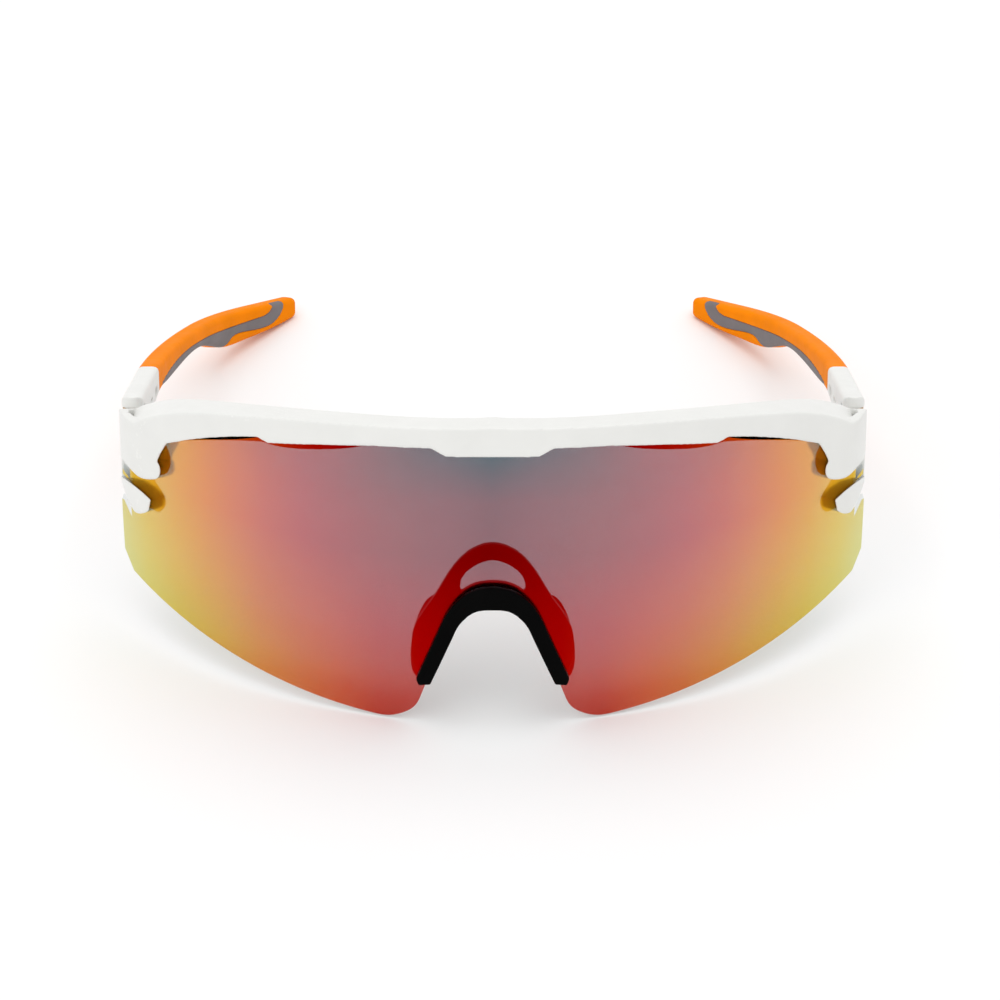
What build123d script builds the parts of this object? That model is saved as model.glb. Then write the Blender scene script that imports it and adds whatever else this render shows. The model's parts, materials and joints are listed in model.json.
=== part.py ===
from build123d import *
import os
from math import sqrt

os.makedirs("parts", exist_ok=True)

# Wraparound sport sunglasses: one toric shield lens hung under a brow frame, with folding temples.
# Everything is drawn in the wearer's frame, with Z parallel to the axis of the lens curve,
# X to the right seen from the front, Y to the back, and the origin on the front of the brow.
# Each finished piece is then turned into the pose in which the glasses rest on a flat surface.

# ---- lens, millimetres ----
lens_radius = 88.0            # horizontal curve of the front face, a 6 base lens
lens_drop_radius = 130.0      # flatter vertical curve of the front face
lens_thickness = 1.8
lens_apex_y = 2.0             # the front of the lens lies this far behind the brow's face
lens_apex_z = -20.0
lens_axis_y = lens_apex_y + lens_radius
lens_side_x = 72.3            # half width of the free lower part of the lens
lens_clamp_x = 70.2           # half width where the frame's fork grips the lens
tab_x = 71.9                  # a small tab of the lens fills the gap between jaw and fang
tab_top, tab_bottom = -19.9, -21.0

# ---- front frame ----
lip = 2.0                     # plastic in front of the lens
liner_thickness = 1.5
rear_lip = 1.6                # plastic behind the liner
slot_clearance = 0.1
wall_x = 72.6                 # outer face of the hinge block
block_thickness = 4.8
block_front_y = 41.4          # the lens edge ends in front of the hinge block
block_end_y = 47.2            # back face of the hinge block, on the inner side
gap_end_y = 43.0              # the gap between jaw and fang is cut this far back
shoulder_rounding = 1.2       # outer top edge of the hinge block
corner_start = (67.6, 30.6)   # plan corner between the brow and the hinge block
corner_end_y = 43.8

# ---- temples ----
arm_x = 72.9                  # outer face of the straight part
arm_thickness = 4.4
arm_start_y = 47.5
bend_y = 75.0                 # the temple is straight up to here
gentle_radius, gentle_angle = 236.0, 12.7
tight_radius, tight_angle = 68.0, 21.3
tail_length = 15.5
sleeve_y = 79.2               # plane between the hard arm and the soft sleeve
arm_top_z = -7.0              # height of the temple's top edge at y = 35
arm_slope = 0.08
arm_bottom_z = -16.9          # lower edge at the hinge
arm_rounding = 1.2
hollow_depth = 0.8            # moulded hollows in the inner face of the hard arm
tip_rounding = 1.6

# ---- hinge ----
pin_x, pin_y = 70.7, 49.9
pin_radius = 0.8
joint_gap = 0.2               # between the round end of the temple and the hollow of the frame
knuckle_radius = 2.1
knuckle_bottom, knuckle_top = -14.1, -10.9
knuckle_gap = 0.5             # slot in the temple, above and below the frame's knuckle
knuckle_clearance = 0.4       # slot around the knuckle
washer_thickness = 0.4
bore_clearance = 0.07
head_radius, head_height = 1.4, 0.8
screw_bottom, screw_top = -16.8, -9.3
nut_radius, nut_height = 1.55, 1.2
fit = 0.05                    # play around the nut and below the screw head

# ---- temple core and grip ----
core_thickness = 1.0
core_height = 1.8
core_start, core_end = (66.0, -12.6), (150.0, -18.2)
grip_depth = 1.3

# ---- nose piece ----
clip_lip = 1.6                # front lip of the nose carrier
plate_thickness = 1.8         # plate of the nose carrier, behind the lens
pad_half_thickness = 0.9

# ---- resting pose ----
rest_tilt = -14.6             # the top of the front leans back until the temple tips touch down
rest_y = -72.03
rest_z = 61.3
resting = Location((0, rest_y, rest_z), (rest_tilt, 0, 0))

reach = 80.0                  # longer than half the glasses, for cutting prisms
room = 10.0                   # wider than a temple, for opening its hinge slot


def finish(part, label):
    """Place one finished piece in the resting pose and write it out."""
    placed = part.moved(resting)
    placed.label = label
    export_step(placed, f"parts/{label}.step")


def finish_pair(part, name):
    """Write a piece made on the +X side and its mirror image."""
    finish(part, f"{name}_right")
    finish(mirror(part, about=Plane.YZ), f"{name}_left")


def arm_top(y):
    """Height of the temple's top edge."""
    return arm_top_z - arm_slope * (y - 35)


block_top_z = arm_top(block_end_y)


def barrel(offset):
    """Solid of revolution bounded by the lens front surface moved outward by offset."""
    drop = lens_drop_radius + offset

    def wall_y(z):
        return lens_apex_y + lens_drop_radius - sqrt(drop**2 - (z - lens_apex_z) ** 2)

    top, middle, bottom = 8.0, -30.0, -68.0
    with BuildPart() as solid:
        with BuildSketch(Plane.YZ):
            with BuildLine():
                ThreePointArc((wall_y(top), top), (wall_y(middle), middle), (wall_y(bottom), bottom))
                Polyline((wall_y(bottom), bottom), (lens_axis_y, bottom), (lens_axis_y, top))
                Line((lens_axis_y, top), (wall_y(top), top))
            make_face()
        revolve(axis=Axis((0, lens_axis_y, 0), (0, 0, 1)))
    return solid.part


skin = barrel(lip)
lens_face = barrel(0)
lens_back = barrel(-lens_thickness)
slot_face = barrel(slot_clearance)
slot_back = barrel(-lens_thickness - slot_clearance)
liner_back = barrel(-lens_thickness - slot_clearance - liner_thickness)
brow_back = barrel(-lens_thickness - slot_clearance - liner_thickness - rear_lip)
carrier_face = barrel(clip_lip)
carrier_back = barrel(-lens_thickness - plate_thickness)

# ---- lens: shield with a nose notch, two vents under the brow and a nip for each fork ----
with BuildPart() as lens:
    with BuildSketch(Plane.XZ):
        with BuildLine():
            top = Spline((0, -2.8), (22, -3.2), (41, -4.3))
            vent = Spline(top @ 1, (43.2, -5.8), (45.5, -6.6), (52, -8.1), (60.4, -10.6))
            Polyline(vent @ 1, (64.5, -10.0), (lens_clamp_x, -12.5), (lens_clamp_x, tab_top - 1.5))
            Polyline((lens_clamp_x, tab_top - 1.5), (tab_x, tab_top), (tab_x, tab_bottom))
            Polyline((tab_x, tab_bottom), (lens_clamp_x, tab_bottom - 0.8), (lens_clamp_x, -29.1))
            Polyline((lens_clamp_x, -29.1), (70.6, -28.5), (71.3, -27.2), (71.8, -26.3))
            Line((71.8, -26.3), (lens_side_x, -26.3))
            Polyline((lens_side_x, -26.3), (lens_side_x, -37.0), (70.5, -41.2))
            lower = ThreePointArc((70.5, -41.2), (48, -52.7), (23.5, -59.6))
            lobe_ends = [lower % 1, (-0.33, 1)]
            lobe = Spline(lower @ 1, (19.5, -59.9), (15.9, -58.4), (13.4, -54.4), tangents=lobe_ends)
            Polyline(lobe @ 1, (9.2, -42.4), (8.0, -39.4))
            Spline((8.0, -39.4), (5.6, -35.0), (0, -33.4), tangents=[(-0.37, 1), (-1, 0)])
            mirror(about=Plane.YZ)
        make_face()
    extrude(amount=-reach)
    split(bisect_by=Plane.XZ.offset(-lens_axis_y + 10), keep=Keep.TOP)
    add(lens_face, mode=Mode.INTERSECT)
    add(lens_back, mode=Mode.SUBTRACT)

# ---- plan of the front frame: lens curve, a tighter corner, then straight back to the hinge ----
with BuildPart() as frame_plan:
    with BuildSketch(Plane.XY.offset(-reach / 2)):
        with BuildLine():
            front = ThreePointArc((-corner_start[0], corner_start[1]), (0, 0), corner_start)
            corner = TangentArc(front @ 1, (wall_x, corner_end_y), tangent=front % 1)
            Line(corner @ 1, (wall_x, pin_y))
            Line((wall_x, pin_y), (-wall_x, pin_y))
            Line((-wall_x, pin_y), (-wall_x, corner_end_y))
            TangentArc(front @ 0, (-wall_x, corner_end_y), tangent=-(front % 0))
        make_face()
    extrude(amount=reach)
    add(skin, mode=Mode.INTERSECT)

# ---- brow: a channel that hangs the lens from its top edge ----
with BuildPart() as brow:
    with BuildSketch(Plane.XZ):
        with BuildLine():
            crest = Spline((0, -0.3), (26, -0.7), (48.8, -2.1), (61, -4.6), (69.5, -9.4))
            Line(crest @ 1, (69.5, -13.5))
            Line((69.5, -13.5), (62.4, -10.9))
            under = Spline((62.4, -10.9), (51.8, -7.0), (43.6, -5.4))
            Polyline(under @ 1, (41.6, -6.2), (31.7, -5.2), (22, -4.5), (11.2, -4.4), (8.6, -5.8), (0, -5.8))
            mirror(about=Plane.YZ)
        make_face()
    extrude(amount=-reach)
    add(frame_plan.part, mode=Mode.INTERSECT)
    add(brow_back, mode=Mode.SUBTRACT)

# ---- fork at each end of the frame: hinge block, upper jaw and lower fang ----
# The jaws are drawn on a plane that faces 17 degrees up and 6 degrees inward.
jaw_plane = Plane(origin=(66, 29, -17), x_dir=(0.9943, -0.1065, 0), z_dir=(-0.1016, -0.9489, 0.2989))
with BuildPart() as jaw_gap:
    with BuildSketch(jaw_plane):
        with BuildLine():
            jaw = Spline((-1.7, -1.8), (0.1, -1.8), (1.6, -1.3), (2.9, -0.1), (4.7, 2.2), (8, 6.6))
            Polyline(jaw @ 1, (8, 2.7), (4.8, -1.2), (3.2, -2.4), (1.3, -4.0), (-0.5, -5.75))
            Polyline((-0.5, -5.75), (-3, -5.75), (-3, -1.8), (-1.7, -1.8))
        make_face()
    extrude(amount=reach / 2, both=True)
    split(bisect_by=Plane.XZ.offset(-gap_end_y), keep=Keep.TOP)

with BuildPart() as fork_side:
    with BuildSketch(Plane.YZ.offset(50)):
        with BuildLine():
            Polyline((20, -9.0), (26.5, -9.0), (32.8, -8.7), (37.1, -8.0), (block_end_y, block_top_z))
            Polyline((block_end_y, block_top_z), (pin_y, arm_top(pin_y)), (pin_y, arm_bottom_z))
            Polyline((pin_y, arm_bottom_z), (46.5, -17.5), (43.5, -24.5), (40, -32), (20, -32), (20, -9))
        make_face()
    extrude(amount=30)

with BuildPart() as shoulder:
    with BuildSketch(Plane.XZ):
        with BuildLine():
            flat_end = (wall_x - shoulder_rounding, block_top_z)
            side_start = (wall_x, block_top_z - shoulder_rounding)
            rounded = RadiusArc(flat_end, side_start, shoulder_rounding)
            Polyline(side_start, (wall_x + 2, side_start[1]), (wall_x + 2, block_top_z + 3), flat_end)
        make_face()
    extrude(amount=-reach)

with BuildPart() as fork:
    with BuildSketch(jaw_plane):
        with BuildLine():
            Polyline((8, 12), (-6.6, 12), (-6.6, 5.2), (-3.9, 5.0), (-2.7, 3.15), (-1.9, 1.55))
            tip = Spline((-1.9, 1.55), (-2.5, 0.25), (-2.4, -1.0), (-1.7, -1.8))
            Polyline(tip @ 1, (-0.5, -5.75), (-0.05, -7.8))
            Spline((-0.05, -7.8), (0.6, -8.2), (2.1, -8.3), (2.9, -7.7))
            Polyline((2.9, -7.7), (4.1, -5.2), (5.0, -2.4), (8, 3), (8, 12))
        make_face()
    extrude(amount=reach / 2, both=True)
    add(frame_plan.part, mode=Mode.INTERSECT)
    add(fork_side.part, mode=Mode.INTERSECT)
    add(jaw_gap.part, mode=Mode.SUBTRACT)
    add(shoulder.part, mode=Mode.SUBTRACT)
    # hollow for the round end of the temple, open to the inner side
    with BuildSketch(Plane.XY.offset(-reach)):
        with Locations((pin_x, pin_y)):
            Circle(arm_thickness / 2 + joint_gap)
        with Locations((pin_x, block_end_y)):
            Rectangle(room, room, align=(Align.MAX, Align.MIN))
    extrude(amount=reach, mode=Mode.SUBTRACT)

# ---- space that the fork leaves for the lens and for the wearer's head ----
with BuildPart() as lens_space:
    with BuildSketch(Plane.XY.offset(-reach / 2)):
        with Locations((0, block_front_y / 2)):
            Rectangle(2 * (lens_clamp_x + slot_clearance), block_front_y)
    extrude(amount=reach)
    add(slot_face, mode=Mode.INTERSECT)
with BuildPart() as head_space:
    with BuildSketch(Plane.XY.offset(-reach / 2)):
        with Locations((0, block_front_y + reach / 2)):
            Rectangle(2 * (wall_x - block_thickness), reach)
    extrude(amount=reach)

# ---- pocket in the brow for the lens and the liner behind it ----
with BuildPart() as brow_pocket:
    with BuildSketch(Plane.XZ):
        with BuildLine():
            Spline((0, -2.2), (26, -2.7), (48.8, -4.0), (61, -6.6), (70.3, -11.0))
            Polyline((70.3, -11.0), (70.3, -30), (0, -30))
            mirror(about=Plane.YZ)
        make_face()
    extrude(amount=-reach)
    add(slot_face, mode=Mode.INTERSECT)
    add(liner_back, mode=Mode.SUBTRACT)

with BuildPart() as frame_front:
    add(fork.part)
    mirror(about=Plane.YZ)
    add(lens_space.part, mode=Mode.SUBTRACT)
    add(head_space.part, mode=Mode.SUBTRACT)
    add(brow.part)
    add(brow_pocket.part, mode=Mode.SUBTRACT)
    for side in (-1, 1):
        with BuildSketch(Plane.XY.offset(knuckle_bottom)):
            with Locations((side * pin_x, pin_y)):
                Circle(knuckle_radius)
            with Locations((side * (pin_x - 0.1), (pin_y + block_end_y) / 2 - 0.5)):
                Rectangle(2 * knuckle_radius - 0.4, pin_y - block_end_y + 1)
            with Locations((side * pin_x, pin_y)):
                Circle(pin_radius + bore_clearance, mode=Mode.SUBTRACT)
        extrude(amount=knuckle_top - knuckle_bottom)

# ---- black liner between the lens and the rear lip, scalloped below the brow ----
with BuildPart() as brow_liner:
    with BuildSketch(Plane.XZ):
        with BuildLine():
            crest = Spline((0, -2.4), (26, -2.9), (48.8, -4.2), (61, -6.8), (64, -8.0))
            Polyline(crest @ 1, (64, -12.0), (61.5, -11.6))
            vent = Spline((61.5, -11.6), (52, -8.9), (43.2, -7.4))
            scallop = Spline(vent @ 1, (38.5, -7.8), (32, -7.25), (25.5, -6.2), (21.5, -4.9))
            Line(scallop @ 1, (0, -4.9))
            mirror(about=Plane.YZ)
        make_face()
    extrude(amount=-reach)
    split(bisect_by=Plane.XZ.offset(-block_end_y), keep=Keep.TOP)
    add(slot_back, mode=Mode.INTERSECT)
    add(liner_back, mode=Mode.SUBTRACT)

# ---- black seat behind the lens, pressed against it by the jaws of the fork ----
with BuildPart() as lens_seat:
    with BuildSketch(Plane.XZ):
        with BuildLine():
            Line((lens_clamp_x, -26.6), (lens_clamp_x, -13.2))
            Line((lens_clamp_x, -13.2), (64.4, -12.4))
            Spline((64.4, -12.4), (61.8, -15.4), (62.6, -18.4), (65.6, -20.4), (63.6, -23.4), (64.6, -27.0))
            Line((64.6, -27.0), (lens_clamp_x, -26.6))
        make_face()
    extrude(amount=-block_front_y)
    add(slot_back, mode=Mode.INTERSECT)
    add(liner_back, mode=Mode.SUBTRACT)

# ---- nose carrier: clip astride the notch of the lens, with a looped plate behind it ----
with BuildPart() as carrier_plate:
    with BuildSketch(Plane.XZ):
        with BuildLine():
            loop = Spline((0, -23.5), (4, -24.8), (7.2, -28.0), (10.9, -34.3), (14.4, -40.2), (15.2, -45.0))
            foot = Spline(loop @ 1, (14.6, -49.2), (13.2, -51.0))
            Spline(foot @ 1, (8.7, -42.2), (6.9, -38.0), (4.0, -35.4), (0, -34.8))
            mirror(about=Plane.YZ)
        make_face()
        with BuildLine():
            Spline((0, -26.7), (3.8, -28.2), (6.0, -31.6), (5.6, -33.6), (3.2, -32.9), (0, -32.4))
            mirror(about=Plane.YZ)
        make_face(mode=Mode.SUBTRACT)
    extrude(amount=-reach / 2)
    add(slot_back, mode=Mode.INTERSECT)
    add(carrier_back, mode=Mode.SUBTRACT)

with BuildPart() as carrier_groove:
    with BuildSketch(Plane.XZ):
        with Locations((0, -40)):
            Rectangle(40, 40)
        with BuildLine():
            Spline((0, -33.6), (5.3, -35.3), (7.8, -39.6), tangents=[(1, 0), (0.37, -1)])
            Polyline((7.8, -39.6), (9.05, -42.5), (15.2, -60), (0, -60))
            mirror(about=Plane.YZ)
        make_face(mode=Mode.SUBTRACT)
    extrude(amount=-reach / 2)
    add(slot_face, mode=Mode.INTERSECT)
    add(slot_back, mode=Mode.SUBTRACT)

with BuildPart() as nose_carrier:
    with BuildSketch(Plane.XZ):
        with BuildLine():
            outer_ends = [(1, 0), (0.4, -1)]
            outer = Spline((0, -31.1), (4.2, -32.0), (8.2, -36.0), (10.1, -40.1), tangents=outer_ends)
            Polyline(outer @ 1, (14.4, -50.7), (13.9, -52.0), (11.7, -51.7), (7.75, -42.2))
            Spline((7.75, -42.2), (6.1, -38.6), (3.4, -36.1), (0, -35.6), tangents=[(-0.42, 1), (-1, 0)])
            mirror(about=Plane.YZ)
        make_face()
    extrude(amount=-reach / 2)
    add(carrier_face, mode=Mode.INTERSECT)
    add(carrier_back, mode=Mode.SUBTRACT)
    add(carrier_groove.part, mode=Mode.SUBTRACT)
    add(carrier_plate.part)

# ---- soft nose pad: splayed along the side of the nose, behind each leg of the carrier ----
pad_plane = Plane(origin=(11.9, 11.6, -44.5), x_dir=(0.45, 0.89, 0), z_dir=(-0.852, 0.429, -0.268))
with BuildPart() as nose_pad:
    with BuildSketch(pad_plane):
        Ellipse(5.6, 8.2)
    extrude(amount=pad_half_thickness, both=True)
    fillet(nose_pad.edges(), 0.75 * pad_half_thickness)
    add(carrier_back, mode=Mode.INTERSECT)


# ---- temples, drawn on the +X side ----
def arm_line(depth):
    """Plan line of a temple, this deep inside its outer face; gives its two ends."""
    side = Line((arm_x - depth, arm_start_y), (arm_x - depth, bend_y))
    gentle = JernArc(side @ 1, side % 1, gentle_radius - depth, gentle_angle)
    tight = JernArc(gentle @ 1, gentle % 1, tight_radius - depth, tight_angle)
    tail = Line(tight @ 1, tight @ 1 + (tight % 1) * tail_length)
    return side @ 0, tail @ 1


def arm_band(shallow, deep):
    """Upright band that follows the temple's plan between two depths below its outer face."""
    with BuildPart() as band:
        with BuildSketch(Plane.XY.offset(-reach)):
            with BuildLine():
                outer_start, outer_end = arm_line(shallow)
                inner_start, inner_end = arm_line(deep)
                Line(outer_start, inner_start)
                Line(outer_end, inner_end)
            make_face()
        extrude(amount=reach)
    return band.part


arm_walls = arm_band(0, arm_thickness)
core_walls = arm_band((arm_thickness - core_thickness) / 2, (arm_thickness + core_thickness) / 2)
grip_walls = arm_band(arm_thickness - grip_depth, arm_thickness + 1)

with BuildPart() as arm_blank:
    with BuildSketch(Plane.YZ):
        with BuildLine():
            top = Line((arm_start_y, arm_top(arm_start_y)), (165, arm_top(165)))
            Line(top @ 1, (165, -20.4))
            tip = [(165, -20.4), (157.5, -22.0), (145, -22.9)]
            belly = Spline(*tip, (137.5, -22.5), (128, -19.6), (112, -18.1), (88, -17.1))
            Spline(belly @ 1, (66, -16.8), (arm_start_y, arm_bottom_z), tangents=[belly % 1, (-1, 0)])
            Line((arm_start_y, arm_bottom_z), top @ 0)
        make_face()
    extrude(amount=reach)
    add(arm_walls, mode=Mode.INTERSECT)
    fillet(arm_blank.edges().filter_by(Axis.Z).sort_by(Axis.Y)[-2:], tip_rounding)
    upright_edges = arm_blank.edges().filter_by(Axis.Z)
    front_edges = arm_blank.faces().sort_by(Axis.Y)[0].edges()
    fillet(arm_blank.edges() - upright_edges - front_edges, arm_rounding)

with BuildPart() as temple_core:
    with BuildSketch(Plane.YZ):
        with BuildLine():
            Polyline(
                (core_start[0], core_start[1] + core_height / 2),
                (core_end[0], core_end[1] + core_height / 2),
                (core_end[0], core_end[1] - core_height / 2),
                (core_start[0], core_start[1] - core_height / 2),
                close=True,
            )
        make_face()
    extrude(amount=reach)
    add(core_walls, mode=Mode.INTERSECT)

with BuildPart() as temple_grip:
    with BuildSketch(Plane.YZ):
        with BuildLine():
            level = [(1, 0), (1, 0)]
            upper = Spline((84.5, -15.6), (109, -15.9), (130, -17.6), (149.5, -18.7), tangents=level)
            turn = Spline(upper @ 1, (152.6, -17.4), (153.2, -14), tangents=[(1, 0), (0, 1)])
            Polyline(turn @ 1, (156.2, -14), (156.2, -17.4))
            lower = Spline((156.2, -17.4), (153.6, -20.6), (147, -21.1), (139.5, -20.6))
            Polyline(lower @ 1, (134.5, -23), (84.5, -23), (84.5, -15.6))
        make_face()
    extrude(amount=reach)
    add(grip_walls, mode=Mode.INTERSECT)
    add(arm_blank.part, mode=Mode.INTERSECT)

sleeve_plane = Plane(origin=(0, sleeve_y, 0), x_dir=(1, 0, 0), z_dir=(0, 1, 0))
with BuildPart() as temple_sleeve:
    add(arm_blank.part)
    split(bisect_by=sleeve_plane, keep=Keep.TOP)
    add(temple_grip.part, mode=Mode.SUBTRACT)
    add(temple_core.part, mode=Mode.SUBTRACT)

with BuildPart() as temple_arm:
    add(arm_blank.part)
    split(bisect_by=sleeve_plane, keep=Keep.BOTTOM)
    add(temple_core.part, mode=Mode.SUBTRACT)
    # the front end is round about the pin, so that it turns in the hollow of the frame
    with BuildSketch(Plane.XY.offset(-reach)):
        with Locations((pin_x, pin_y)):
            Rectangle(room, room, align=(Align.CENTER, Align.MAX))
            Circle(arm_thickness / 2, mode=Mode.SUBTRACT)
    extrude(amount=reach, mode=Mode.SUBTRACT)
    # slot for the frame's knuckle, open to the front and to the inner side
    with BuildSketch(Plane.XY.offset(knuckle_bottom - knuckle_gap)):
        with Locations((pin_x, pin_y)):
            Circle(knuckle_radius + knuckle_clearance)
            Rectangle(room, room, align=(Align.CENTER, Align.MAX))
        with Locations((pin_x, pin_y + knuckle_radius + knuckle_clearance)):
            Rectangle(room, room, align=(Align.MAX, Align.MAX))
    extrude(amount=knuckle_top - knuckle_bottom + 2 * knuckle_gap, mode=Mode.SUBTRACT)
    # bore and counterbore for the screw, from below, and pocket for the nut above the slot
    with BuildSketch(Plane.XY.offset(screw_bottom - 1)):
        with Locations((pin_x, pin_y)):
            Circle(pin_radius + bore_clearance)
    extrude(amount=screw_top - screw_bottom + 1 + fit, mode=Mode.SUBTRACT)
    with BuildSketch(Plane.XY.offset(screw_bottom - 1)):
        with Locations((pin_x, pin_y)):
            Circle(head_radius + bore_clearance)
    extrude(amount=head_height + 1 + fit, mode=Mode.SUBTRACT)
    with BuildSketch(Plane.XY.offset(knuckle_top + knuckle_gap)):
        with Locations((pin_x, pin_y)):
            RegularPolygon(nut_radius, 6)
    extrude(amount=nut_height, mode=Mode.SUBTRACT)
    # two shallow hollows in the inner face
    with BuildSketch(Plane.YZ.offset(arm_x - arm_thickness - 1)):
        with Locations((64.0, -13.7)):
            SlotOverall(5.0, 0.9)
        with Locations((73.6, -14.6)):
            SlotOverall(5.2, 2.4)
    extrude(amount=1 + hollow_depth, mode=Mode.SUBTRACT)

with BuildPart() as hinge_screw:
    with BuildSketch(Plane.XY.offset(screw_bottom)):
        with Locations((pin_x, pin_y)):
            Circle(pin_radius)
    extrude(amount=screw_top - screw_bottom)
    with BuildSketch(Plane.XY.offset(screw_bottom)):
        with Locations((pin_x, pin_y)):
            Circle(head_radius)
    extrude(amount=head_height)
    with BuildSketch(Plane.XY.offset(screw_bottom)):
        with Locations((pin_x, pin_y)):
            Rectangle(2 * head_radius + 1, pin_radius / 2)
    extrude(amount=head_height / 2, mode=Mode.SUBTRACT)

with BuildPart() as hinge_nut:
    with BuildSketch(Plane.XY.offset(knuckle_top + knuckle_gap + fit)):
        with Locations((pin_x, pin_y)):
            RegularPolygon(nut_radius - fit, 6)
            Circle(pin_radius, mode=Mode.SUBTRACT)
    extrude(amount=nut_height - 2 * fit)

with BuildPart() as hinge_washer:
    with BuildSketch(Plane.XY.offset(knuckle_top + knuckle_gap - washer_thickness)):
        with Locations((pin_x, pin_y)):
            Circle(knuckle_radius - 0.1)
            Circle(pin_radius + bore_clearance, mode=Mode.SUBTRACT)
    extrude(amount=washer_thickness)

finish(lens.part, "lens")
finish(frame_front.part, "frame_front")
finish(brow_liner.part, "brow_liner")
finish(nose_carrier.part, "nose_carrier")
finish_pair(lens_seat.part, "lens_seat")
finish_pair(nose_pad.part, "nose_pad")
finish_pair(temple_arm.part, "temple_arm")
finish_pair(temple_sleeve.part, "temple_sleeve")
finish_pair(temple_grip.part, "temple_grip")
finish_pair(temple_core.part, "temple_core")
finish_pair(hinge_screw.part, "hinge_screw")
finish_pair(hinge_nut.part, "hinge_nut")
finish_pair(hinge_washer.part, "hinge_washer")
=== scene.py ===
import json
import math

import bpy
from mathutils import Matrix, Vector


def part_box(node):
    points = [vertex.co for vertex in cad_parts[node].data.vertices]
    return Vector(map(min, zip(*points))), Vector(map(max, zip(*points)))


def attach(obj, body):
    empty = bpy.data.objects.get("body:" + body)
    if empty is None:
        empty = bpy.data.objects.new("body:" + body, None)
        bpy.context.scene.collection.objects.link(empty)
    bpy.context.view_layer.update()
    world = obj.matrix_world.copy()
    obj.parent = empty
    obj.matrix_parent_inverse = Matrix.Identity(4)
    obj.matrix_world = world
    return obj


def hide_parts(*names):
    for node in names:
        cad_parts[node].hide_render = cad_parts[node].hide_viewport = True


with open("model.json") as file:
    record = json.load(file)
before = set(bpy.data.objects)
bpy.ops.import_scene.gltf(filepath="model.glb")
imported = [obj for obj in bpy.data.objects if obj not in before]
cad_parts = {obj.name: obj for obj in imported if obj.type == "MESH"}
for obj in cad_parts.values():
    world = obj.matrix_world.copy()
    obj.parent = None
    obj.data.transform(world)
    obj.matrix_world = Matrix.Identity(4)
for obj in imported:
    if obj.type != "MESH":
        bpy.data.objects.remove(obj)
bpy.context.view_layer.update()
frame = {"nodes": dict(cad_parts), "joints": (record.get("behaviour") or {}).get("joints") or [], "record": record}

MM = 0.001

# The wearer's frame that the glasses are drawn in: Z along the axis of the lens curve, and the
# origin on the front of the brow. The hinge pins are parallel to that Z.
HINGE_PIN = Vector((70.7, 49.9, -12.5))
LENS_RADIUS = 88.0
LENS_DROP_RADIUS = 130.0
LENS_THICKNESS = 1.8
LENS_APEX = Vector((0.0, 2.0, -20.0))

# The camera, in the wearer's frame and in millimetres: 600 mm away and 18 degrees above horizontal.
CAMERA_ELEVATION = math.radians(18.0)
CAMERA_DISTANCE = 600.0
CAMERA_SIDE = 1.36
CAMERA_DROP = 12.94
CAMERA_FOCAL_LENGTH = 119.34
CAMERA_SENSOR_WIDTH = 36.0

# Nearly all of a noise texture's values lie between these two.
NOISE_LOW, NOISE_HIGH = 0.3, 0.7


def wearer_frame():
    """Matrix from the wearer's frame, in millimetres, to the row frame, in metres."""
    hinge = next(j for j in frame["joints"] if j["name"] == "right_temple_hinge")
    z_axis = Vector(hinge["axis"]).normalized()
    x_axis = Vector((1, 0, 0))
    y_axis = z_axis.cross(x_axis)
    turn = Matrix((x_axis, y_axis, z_axis)).transposed()
    origin = Vector(hinge["pos_m"]) - turn @ (HINGE_PIN * MM)
    return Matrix.Translation(origin) @ turn.to_4x4() @ Matrix.Scale(MM, 4)


WEARER = wearer_frame()


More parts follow.
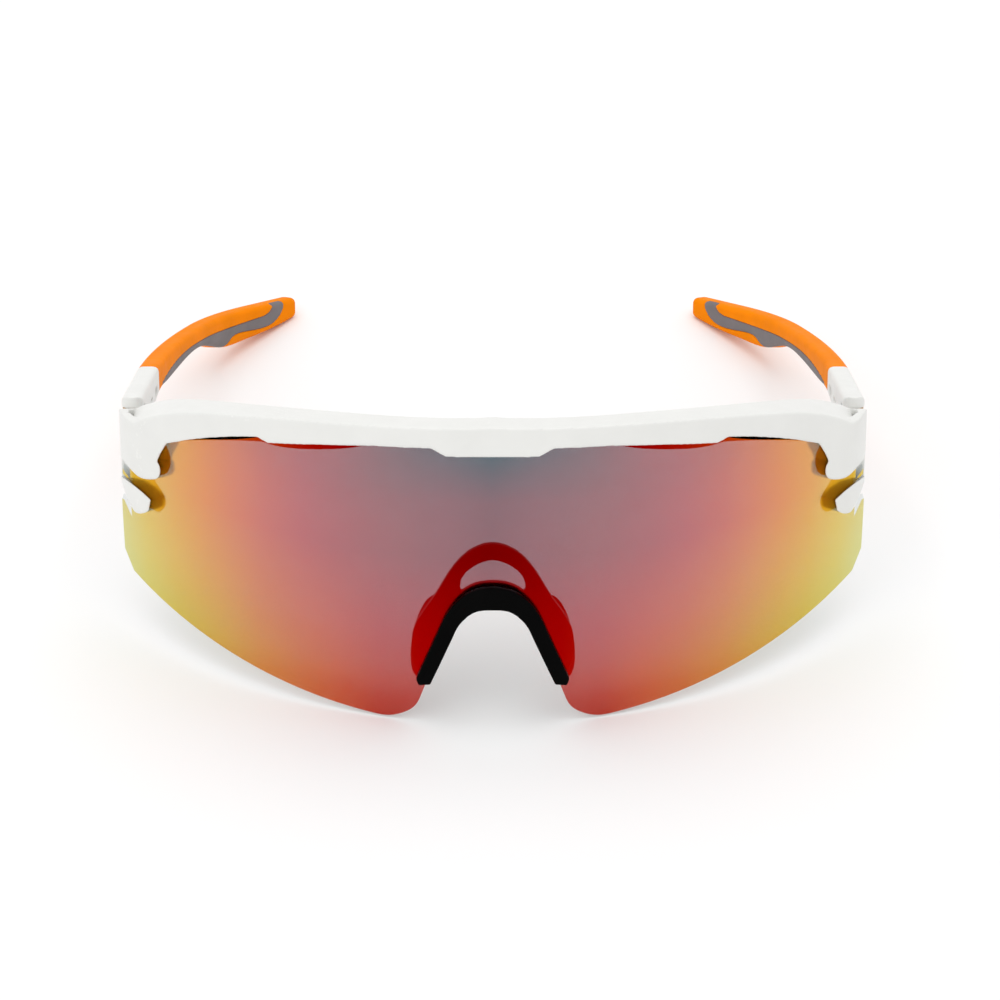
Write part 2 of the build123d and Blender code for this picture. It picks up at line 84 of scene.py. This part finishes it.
# ---------------------------------------------------------------- shader helpers
class Shader:
    """A node material, with short ways to add and join nodes."""

    def __init__(self, name):
        self.material = bpy.data.materials.new(name)
        self.material.use_nodes = True
        self.tree = self.material.node_tree
        self.bsdf = self.tree.nodes["Principled BSDF"]
        self.output = self.tree.nodes["Material Output"]

    def node(self, kind, **values):
        made = self.tree.nodes.new(kind)
        for key, value in values.items():
            setattr(made, key, value)
        return made

    def link(self, source, target):
        self.tree.links.new(source, target)

    def set(self, **values):
        for key, value in values.items():
            self.bsdf.inputs[key.replace("_", " ")].default_value = value

    def place(self):
        return self.node("ShaderNodeTexCoord").outputs["Object"]

    def noise(self, scale, detail=3.0, roughness=0.5):
        made = self.node("ShaderNodeTexNoise")
        made.inputs["Scale"].default_value = scale
        made.inputs["Detail"].default_value = detail
        made.inputs["Roughness"].default_value = roughness
        self.link(self.place(), made.inputs["Vector"])
        return made.outputs["Fac"]

    def math(self, operation, first, second=0.0):
        made = self.node("ShaderNodeMath", operation=operation)
        for socket, value in zip(made.inputs, (first, second)):
            if isinstance(value, (int, float)):
                socket.default_value = value
            else:
                self.link(value, socket)
        return made.outputs[0]

    def remap(self, value, low, high, to_low, to_high):
        made = self.node("ShaderNodeMapRange")
        self.link(value, made.inputs["Value"])
        for key, number in zip(("From Min", "From Max", "To Min", "To Max"), (low, high, to_low, to_high)):
            made.inputs[key].default_value = number
        return made.outputs["Result"]

    def vary(self, noise, to_low, to_high):
        return self.remap(noise, NOISE_LOW, NOISE_HIGH, to_low, to_high)

    def ramp(self, value, stops):
        made = self.node("ShaderNodeValToRGB")
        self.link(value, made.inputs["Fac"])
        elements = made.color_ramp.elements
        while len(elements) < len(stops):
            elements.new(0.5)
        for element, (position, colour) in zip(elements, stops):
            element.position = position
            element.color = (*colour, 1)
        return made.outputs["Color"]

    def mix(self, factor, first, second, blend="MIX"):
        made = self.node("ShaderNodeMix", data_type="RGBA", blend_type=blend)
        for index, value in ((0, factor), (6, first), (7, second)):
            socket = made.inputs[index]
            if isinstance(value, tuple):
                socket.default_value = (*value, 1)
            elif isinstance(value, (int, float)):
                socket.default_value = value
            else:
                self.link(value, socket)
        return made.outputs[2]

    def grey(self, value):
        made = self.node("ShaderNodeCombineColor")
        for socket in made.inputs[:3]:
            self.link(value, socket)
        return made.outputs["Color"]

    def bump(self, height, distance, strength=1.0):
        made = self.node("ShaderNodeBump")
        made.inputs["Strength"].default_value = strength
        made.inputs["Distance"].default_value = distance
        self.link(height, made.inputs["Height"])
        self.link(made.outputs["Normal"], self.bsdf.inputs["Normal"])


def moulded_plastic(name, colour, roughness, grain, grain_depth, shade=0.06, gloss_level=0.35):
    """Moulded plastic or rubber: faint mottling, a fine moulded grain and a painted highlight that makes sharp
    edges paler.
    """
    shader = Shader(name)
    mottle = shader.vary(shader.noise(160.0, 4.0), 0.0, 1.0)
    darker = tuple(c * (1 - shade) for c in colour)
    body = shader.mix(mottle, darker, colour)
    pointiness = shader.node("ShaderNodeNewGeometry").outputs["Pointiness"]
    # painted highlight: sharp convex edges are mixed towards a colour 12 per cent paler, as where light catches an
    # edge
    edge_highlight_mask = shader.remap(pointiness, 0.56, 0.66, 0.0, 0.35)
    highlight_colour = tuple(min(1.0, c * 1.12) for c in colour)
    shader.link(shader.mix(edge_highlight_mask, body, highlight_colour), shader.bsdf.inputs["Base Color"])
    gloss = shader.vary(shader.noise(420.0, 3.0), roughness - 0.06, roughness + 0.06)
    shader.link(gloss, shader.bsdf.inputs["Roughness"])
    shader.bump(shader.noise(1 / grain, 2.0), grain_depth, 0.6)
    shader.set(Specular_IOR_Level=gloss_level)
    return shader.material


def metal(name, colour, roughness, brushing=3000.0):
    """Turned or rolled metal with fine tool marks."""
    shader = Shader(name)
    marks = shader.noise(brushing, 2.0)
    darker = tuple(c * 0.7 for c in colour)
    shader.link(shader.mix(marks, darker, colour), shader.bsdf.inputs["Base Color"])
    gloss = shader.vary(marks, roughness - 0.08, roughness + 0.1)
    shader.link(gloss, shader.bsdf.inputs["Roughness"])
    shader.bump(marks, 0.02 * MM, 0.5)
    shader.set(Metallic=1.0)
    return shader.material


# How the mirror coating's colour runs from the nose, 0, to the side edge, 1, near the brow.
COATING_HIGH = [
    (0.00, (0.18, 0.000, 0.00)),
    (0.18, (0.225, 0.000, 0.00)),
    (0.29, (0.27, 0.000, 0.00)),
    (0.39, (0.325, 0.000, 0.00)),
    (0.49, (0.40, 0.004, 0.00)),
    (0.60, (0.49, 0.028, 0.00)),
    (0.68, (0.57, 0.075, 0.00)),
    (0.76, (0.64, 0.145, 0.00)),
    (0.84, (0.67, 0.235, 0.00)),
    (0.92, (0.68, 0.340, 0.00)),
    (1.00, (0.66, 0.420, 0.01)),
]
# The same across the bottom lobes, where the coating is yellower.
COATING_LOW = [
    (0.00, (0.38, 0.000, 0.00)),
    (0.19, (0.42, 0.000, 0.00)),
    (0.29, (0.46, 0.008, 0.00)),
    (0.40, (0.54, 0.048, 0.00)),
    (0.50, (0.57, 0.095, 0.00)),
    (0.61, (0.60, 0.170, 0.00)),
    (0.70, (0.60, 0.260, 0.00)),
    (0.84, (0.60, 0.390, 0.00)),
    (0.93, (0.60, 0.440, 0.01)),
    (1.00, (0.58, 0.480, 0.04)),
]
# What the lens lets through from the nose to the side edge. The thicker coating there stops red.
TINT = [
    (0.00, (0.110, 0.180, 0.208)),
    (0.12, (0.130, 0.198, 0.226)),
    (0.25, (0.120, 0.208, 0.232)),
    (0.50, (0.088, 0.210, 0.232)),
    (0.60, (0.077, 0.206, 0.217)),
    (0.68, (0.069, 0.196, 0.200)),
    (0.76, (0.060, 0.176, 0.173)),
    (0.84, (0.052, 0.154, 0.160)),
    (0.92, (0.043, 0.163, 0.175)),
    (1.00, (0.035, 0.170, 0.230)),
]
# Painted shade on what shows through the lens: the bottom lobes, 0, let through less green and blue than the rest
# of the lens, 1, standing for the shade beneath the glasses seen through them.
PAINTED_SHADE_UPWARD = [
    (0.00, (1.0, 0.48, 0.33)),
    (0.08, (1.0, 0.62, 0.46)),
    (0.15, (1.0, 0.86, 0.70)),
    (0.22, (1.0, 0.98, 0.88)),
    (0.35, (1.0, 1.00, 1.00)),
]


def mirror_lens():
    """Coated front of the lens: a mirror that fades from red to yellow, over a blue-green tint with painted shade
    towards the bottom.
    """
    shader = Shader("lens_mirror_coating")
    low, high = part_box("lens")
    split = shader.node("ShaderNodeSeparateXYZ")
    shader.link(shader.place(), split.inputs[0])
    x, _, z = split.outputs
    across = shader.math("MULTIPLY", shader.math("ABSOLUTE", x), 1 / high.x)
    drift = shader.vary(shader.noise(35.0, 2.0), -0.012, 0.012)
    across = shader.math("ADD", across, drift)
    up = shader.remap(z, low.z, high.z, 0.0, 1.0)
    low_part = shader.remap(up, 0.15, 0.62, 1.0, 0.0)
    coating = shader.mix(low_part, shader.ramp(across, COATING_HIGH), shader.ramp(across, COATING_LOW))
    # towards the middle of the top edge the mirror fades out
    middle = shader.remap(across, 0.0, 0.40, 1.0, 0.0)
    crown = shader.remap(up, 0.80, 0.95, 0.0, 1.0)
    fade = shader.remap(shader.math("MULTIPLY", middle, crown), 0.0, 1.0, 1.0, 0.15)
    coating = shader.mix(1.0, coating, shader.grey(fade), "MULTIPLY")
    speckle = shader.vary(shader.noise(2600.0, 2.0, 0.7), 0.94, 1.05)
    coating = shader.mix(1.0, coating, shader.grey(speckle), "MULTIPLY")
    shader.link(coating, shader.bsdf.inputs["Base Color"])
    shader.set(Metallic=1.0)
    gloss = shader.vary(shader.noise(90.0, 3.0), 0.17, 0.24)
    shader.link(gloss, shader.bsdf.inputs["Roughness"])
    through = shader.node("ShaderNodeBsdfTransparent")
    # what shows through is the tint times the painted shade towards the bottom lobes
    tint = shader.mix(1.0, shader.ramp(across, TINT), shader.ramp(up, PAINTED_SHADE_UPWARD), "MULTIPLY")
    shader.link(tint, through.inputs["Color"])
    both = shader.node("ShaderNodeAddShader")
    shader.link(shader.bsdf.outputs[0], both.inputs[0])
    shader.link(through.outputs[0], both.inputs[1])
    shader.link(both.outputs[0], shader.output.inputs["Surface"])
    return shader.material


def clear_back():
    """Uncoated back and rim of the lens: clear polycarbonate with a light smoke tint."""
    shader = Shader("lens_back_face")
    shader.set(Base_Color=(0.01, 0.012, 0.014, 1), Specular_IOR_Level=0.4)
    gloss = shader.vary(shader.noise(90.0, 3.0), 0.05, 0.12)
    shader.link(gloss, shader.bsdf.inputs["Roughness"])
    through = shader.node("ShaderNodeBsdfTransparent")
    through.inputs["Color"].default_value = (0.95, 0.97, 0.97, 1)
    both = shader.node("ShaderNodeMixShader")
    both.inputs[0].default_value = 0.94
    shader.link(shader.bsdf.outputs[0], both.inputs[1])
    shader.link(through.outputs[0], both.inputs[2])
    shader.link(both.outputs[0], shader.output.inputs["Surface"])
    return shader.material


WHITE = moulded_plastic(
    "frame_white_nylon", (0.79, 0.79, 0.765), roughness=0.36, grain=0.35 * MM, grain_depth=0.010 * MM,
    shade=0.03,
)
ORANGE = moulded_plastic(
    "sleeve_orange_plastic", (0.96, 0.25, 0.0), roughness=0.55, grain=0.30 * MM, grain_depth=0.012 * MM,
    shade=0.10, gloss_level=0.03,
)
GREY = moulded_plastic(
    "grip_grey_rubber", (0.20, 0.180, 0.185), roughness=0.62, grain=0.22 * MM, grain_depth=0.030 * MM,
    shade=0.14, gloss_level=0.2,
)
BLACK = moulded_plastic(
    "carrier_black_nylon", (0.002, 0.002, 0.002), roughness=0.30, grain=0.30 * MM, grain_depth=0.010 * MM,
    shade=0.3, gloss_level=0.02,
)
# Black rubber for the nose pads. The brow liner and lens seats also take this black as painted shade, standing for
# the white frame's rear lip in shadow behind the lens.
BLACK_RUBBER_AND_PAINTED_SHADE = moulded_plastic(
    "black_rubber_and_painted_shade", (0.002, 0.002, 0.002), roughness=0.6, grain=0.25 * MM, grain_depth=0.030 * MM,
    shade=0.3, gloss_level=0.02,
)
STEEL = metal("turned_steel", (0.52, 0.52, 0.54), 0.32)
BRASS = metal("turned_brass", (0.72, 0.50, 0.20), 0.34)
BRONZE = metal("stamped_bronze", (0.60, 0.38, 0.18), 0.38)
LENS_FRONT = mirror_lens()
LENS_BACK = clear_back()


# ---------------------------------------------------------------- meshes
def settled(piece):
    """Apply the piece's modifiers, so that its mesh is its final shape."""
    graph = bpy.context.evaluated_depsgraph_get()
    final = bpy.data.meshes.new_from_object(piece.evaluated_get(graph))
    piece.modifiers.clear()
    piece.data = final
    for polygon in final.polygons:
        polygon.use_smooth = True


def moulding(node, material, voxel, rounds):
    """A finely meshed twin of a CAD node whose edges are rounded as a mould rounds them."""
    source = frame["nodes"][node]
    mesh = source.data.copy()
    piece = bpy.data.objects.new(f"{node}_moulding", mesh)
    bpy.context.scene.collection.objects.link(piece)
    remesh = piece.modifiers.new("fine", "REMESH")
    remesh.mode = "VOXEL"
    remesh.voxel_size = voxel
    smooth = piece.modifiers.new("round", "SMOOTH")
    smooth.factor = 0.5
    smooth.iterations = rounds
    settled(piece)
    piece.data.materials.clear()
    piece.data.materials.append(material)
    body = next(b for b, nodes in frame["record"]["behaviour"]["bodies"].items() if node in nodes)
    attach(piece, body)
    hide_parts(node)
    return piece


def reclothe(node, material):
    """Give a CAD node that stays as it is a material of its own."""
    materials = frame["nodes"][node].data.materials
    materials.clear()
    materials.append(material)


def lens_normal(place):
    """Outward normal of the lens's curve at a point, and the point's depth behind the front."""
    axis = Vector((0, LENS_APEX.y + LENS_RADIUS, LENS_APEX.z))
    spoke = Vector((place.x - axis.x, place.y - axis.y, 0))
    centre = axis - spoke.normalized() * (LENS_DROP_RADIUS - LENS_RADIUS)
    arm = place - centre
    return arm.normalized(), LENS_DROP_RADIUS - arm.length


def true_lens():
    """The lens with exact normals on its two curved faces, and the coating on the front one only."""
    mesh = frame["nodes"]["lens"].data.copy()
    piece = bpy.data.objects.new("lens_shield", mesh)
    bpy.context.scene.collection.objects.link(piece)
    mesh.materials.clear()
    mesh.materials.append(LENS_FRONT)
    mesh.materials.append(LENS_BACK)
    back = WEARER.inverted()
    turn = WEARER.to_3x3().normalized()
    normals = []
    depths = []
    for vertex in mesh.vertices:
        normal, depth = lens_normal(back @ vertex.co)
        normals.append(turn @ normal)
        depths.append(depth)
    near = 0.05
    loop_normals = [Vector((0, 0, 0))] * len(mesh.loops)
    for polygon in mesh.polygons:
        polygon.use_smooth = True
        deep = [depths[v] for v in polygon.vertices]
        front = max(deep) < near
        rear = min(deep) > LENS_THICKNESS - near
        polygon.material_index = 0 if front else 1
        for loop in polygon.loop_indices:
            if front:
                loop_normals[loop] = normals[mesh.loops[loop].vertex_index]
            elif rear:
                loop_normals[loop] = -normals[mesh.loops[loop].vertex_index]
            else:
                loop_normals[loop] = polygon.normal.copy()
    mesh.normals_split_custom_set(loop_normals)
    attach(piece, "front")
    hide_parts("lens")


METAL_NODES = [
    ("hinge_screw", STEEL),
    ("hinge_nut", BRASS),
    ("hinge_washer", BRONZE),
    ("temple_core", STEEL),
]

true_lens()
moulding("frame_front", WHITE, 0.24 * MM, 8)
# painted shade: the black brow liner stands for the shaded rear of the white brow, seen through the lens
reclothe("brow_liner", BLACK_RUBBER_AND_PAINTED_SHADE)
moulding("nose_carrier", BLACK, 0.2 * MM, 5)
for side in ("left", "right"):
    # painted shade: the black lens seats stand for the shaded rear lip of the white frame
    moulding(f"lens_seat_{side}", BLACK_RUBBER_AND_PAINTED_SHADE, 0.2 * MM, 3)
    pad = moulding(f"nose_pad_{side}", BLACK_RUBBER_AND_PAINTED_SHADE, 0.2 * MM, 4)
    moulding(f"temple_arm_{side}", WHITE, 0.22 * MM, 4)
    moulding(f"temple_sleeve_{side}", ORANGE, 0.25 * MM, 3)
    moulding(f"temple_grip_{side}", GREY, 0.2 * MM, 2)
    for node, material in METAL_NODES:
        reclothe(f"{node}_{side}", material)


# ---------------------------------------------------------------- floor, light and camera
def pale_floor():
    mesh = bpy.data.meshes.new("floor")
    half = 6.0
    corners = [(-half, -half, 0), (half, -half, 0), (half, half, 0), (-half, half, 0)]
    mesh.from_pydata(corners, [], [(0, 1, 2, 3)])
    floor = bpy.data.objects.new("floor", mesh)
    bpy.context.scene.collection.objects.link(floor)
    shader = Shader("pale_floor")
    shader.set(Base_Color=(0.92, 0.92, 0.92, 1), Roughness=0.9, Specular_IOR_Level=0.1)
    mesh.materials.append(shader.material)


def softbox(name, place, target, size, energy):
    light = bpy.data.lights.new(name, "AREA")
    light.shape = "RECTANGLE"
    light.size, light.size_y = size
    light.energy = energy
    lamp = bpy.data.objects.new(name, light)
    lamp.location = place
    lamp.rotation_euler = (Vector(target) - Vector(place)).to_track_quat("-Z", "Y").to_euler()
    bpy.context.scene.collection.objects.link(lamp)


def studio():
    world = bpy.data.worlds.new("studio")
    bpy.context.scene.world = world
    world.use_nodes = True
    background = world.node_tree.nodes["Background"]
    background.inputs["Color"].default_value = (1, 1, 1, 1)
    background.inputs["Strength"].default_value = 0.86
    softbox("overhead", (0, 0.1, 1.4), (0, 0, 0), (1.6, 1.6), 7.2)
    softbox("front_left", (-0.9, -1.1, 0.9), (0, 0, 0.02), (0.9, 0.9), 2.4)


def camera():
    """Camera that looks along the wearer's midline, from in front and above."""
    rise = math.sin(CAMERA_ELEVATION)
    level = math.cos(CAMERA_ELEVATION)
    forward = Vector((0, level, -rise))
    upward = Vector((0, rise, level))
    lens = bpy.data.cameras.new("camera")
    lens.sensor_width = CAMERA_SENSOR_WIDTH
    lens.lens = CAMERA_FOCAL_LENGTH
    lens.clip_start = 0.01
    lens.clip_end = 20.0
    viewer = bpy.data.objects.new("camera", lens)
    place = Vector((CAMERA_SIDE, 0, 0)) - forward * CAMERA_DISTANCE - upward * CAMERA_DROP
    turn = WEARER.to_3x3().normalized()
    axes = Matrix((turn @ Vector((1, 0, 0)), turn @ upward, turn @ -forward)).transposed()
    viewer.matrix_world = Matrix.Translation(WEARER @ place) @ axes.to_4x4()
    bpy.context.scene.collection.objects.link(viewer)
    bpy.context.scene.camera = viewer


pale_floor()
studio()
camera()
bpy.context.scene.view_settings.view_transform = "Standard"
